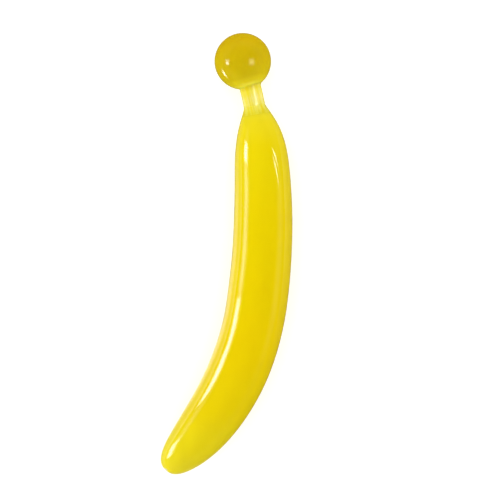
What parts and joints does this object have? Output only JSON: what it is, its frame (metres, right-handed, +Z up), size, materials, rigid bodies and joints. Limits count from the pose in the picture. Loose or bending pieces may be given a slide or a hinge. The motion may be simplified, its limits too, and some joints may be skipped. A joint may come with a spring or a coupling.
{
  "type": "massage wand",
  "caption": "Banana-shaped wand of solid yellow glass, bent to one side, with a short neck and a ball-shaped grip end.",
  "frame": {"origin": "middle of the bounding box's bottom face, on the surface that the wand lies on", "axes": "+Z up from the surface, +Y from the blunt tip towards the ball, the bend hollow towards -X"},
  "size_m": [0.0598, 0.2006, 0.0276],
  "materials": {
    "opaque_core": "opaque yellow opal glass, sealed under the clear casing",
    "clear_casing": "clear, fire-polished and glossy",
    "neck_glass": "pale translucent yellow, fire-polished and glossy",
    "ball_glass": "deep amber-yellow, slightly cloudy, fire-polished and glossy"
  },
  "bodies": {
    "root": {"body_core": "opaque_core", "body_casing": "clear_casing", "neck": "neck_glass", "ball_handle": "ball_glass"}
  },
  "joints": []
}
